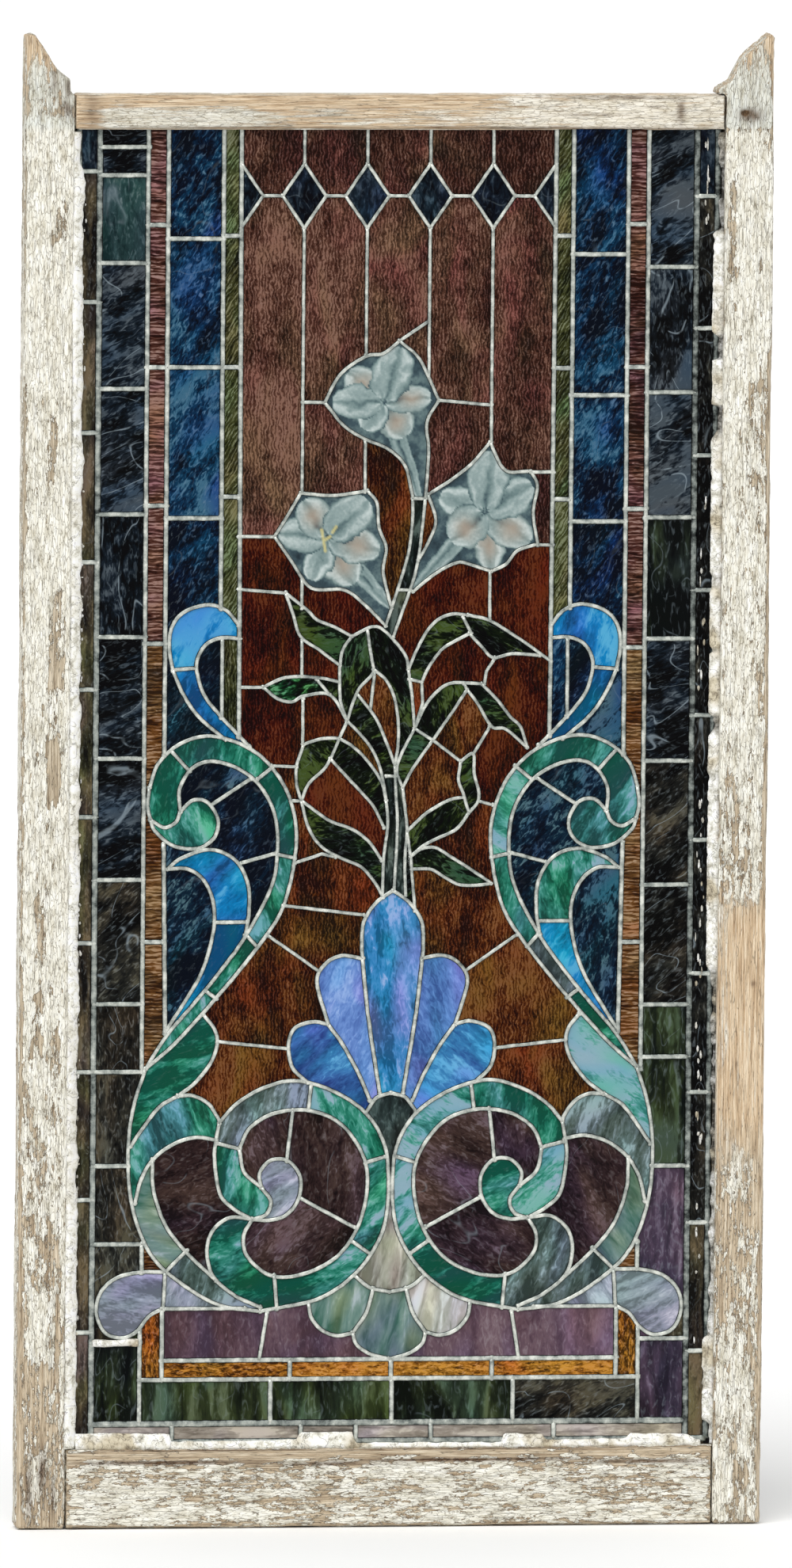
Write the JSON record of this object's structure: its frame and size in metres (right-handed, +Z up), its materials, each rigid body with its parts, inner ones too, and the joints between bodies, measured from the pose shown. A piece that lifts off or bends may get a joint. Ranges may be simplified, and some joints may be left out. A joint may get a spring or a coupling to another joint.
{
  "type": "stained glass window",
  "caption": "Tall leaded stained glass sash with lilies, scrolls and a tiled border in a worn cream-painted wooden frame with horned stiles.",
  "frame": {"origin": "middle of the flat underside of the bottom rail, where the sash sits on a sill", "axes": "+Z up along the stiles, +X to the right across the sash seen from its puttied face, -Y out of the puttied face"},
  "size_m": [0.775, 0.035, 1.541],
  "materials": {
    "wood_cream_paint": "flaking matt paint over weathered softwood",
    "putty": "cracked, painted linseed putty",
    "lead": "dull grey lead came, polished on its crown",
    "glass_border": "rolled cathedral glass, gloss",
    "glass_slate": "rolled cathedral glass, gloss",
    "glass_red": "rolled cathedral glass, gloss",
    "glass_blue": "rolled cathedral glass, gloss",
    "glass_olive": "rolled cathedral glass, gloss",
    "glass_azure": "rolled cathedral glass, gloss",
    "glass_teal": "rolled cathedral glass, gloss",
    "glass_plum": "rolled cathedral glass, gloss",
    "glass_lilac": "rolled cathedral glass, gloss",
    "glass_purple": "rolled cathedral glass, gloss",
    "glass_green": "rolled cathedral glass, gloss",
    "glass_amber": "rolled cathedral glass, gloss",
    "glass_opal": "rolled cathedral glass, gloss",
    "glass_ice": "rolled cathedral glass, gloss",
    "glass_leaf": "rolled cathedral glass, gloss",
    "glass_brown": "rolled cathedral glass, gloss"
  },
  "bodies": {
    "root": {"left_stile": "wood_cream_paint", "right_stile": "wood_cream_paint", "top_rail": "wood_cream_paint", "bottom_rail": "wood_cream_paint", "putty_left": "putty", "putty_right": "putty", "putty_bottom": "putty", "came_network": "lead", "border_glass_left": "glass_border", "border_glass_right": "glass_border", "tiles_left": "glass_slate", "tiles_right": "glass_slate", "red_strip_upper_left": "glass_red", "red_strip_upper_right": "glass_red", "red_strip_lower_left": "glass_red", "red_strip_lower_right": "glass_red", "blue_strip_left": "glass_blue", "blue_strip_right": "glass_blue", "blue_corner_left": "glass_blue", "blue_corner_right": "glass_blue", "olive_strip_left": "glass_olive", "olive_strip_right": "glass_olive", "hook_inside_left": "glass_blue", "hook_inside_right": "glass_blue", "hook_left": "glass_azure", "hook_right": "glass_azure", "scroll_left": "glass_teal", "scroll_right": "glass_teal", "scroll_inside_left": "glass_blue", "scroll_inside_right": "glass_blue", "lower_hook_left": "glass_azure", "lower_hook_right": "glass_azure", "lower_hook_inside_left": "glass_blue", "lower_hook_inside_right": "glass_blue", "side_scroll_left": "glass_teal", "side_scroll_right": "glass_teal", "side_inside_left": "glass_plum", "side_inside_right": "glass_plum", "ring_left": "glass_teal", "ring_right": "glass_teal", "ring_inside_left": "glass_plum", "ring_inside_right": "glass_plum", "foot_left": "glass_lilac", "foot_right": "glass_lilac", "purple_base_left": "glass_purple", "purple_base_right": "glass_purple", "border_glass_bottom": "glass_border", "tiles_bottom": "glass_green", "tile_corner_right": "glass_purple", "amber_bar": "glass_amber", "shell": "glass_opal", "drop": "glass_plum", "palmette": "glass_azure", "lily_top": "glass_ice", "lily_left": "glass_ice", "lily_right": "glass_ice", "leaves": "glass_leaf", "field": "glass_brown", "field_right": "glass_brown", "field_leaf": "glass_brown"}
  },
  "joints": []
}
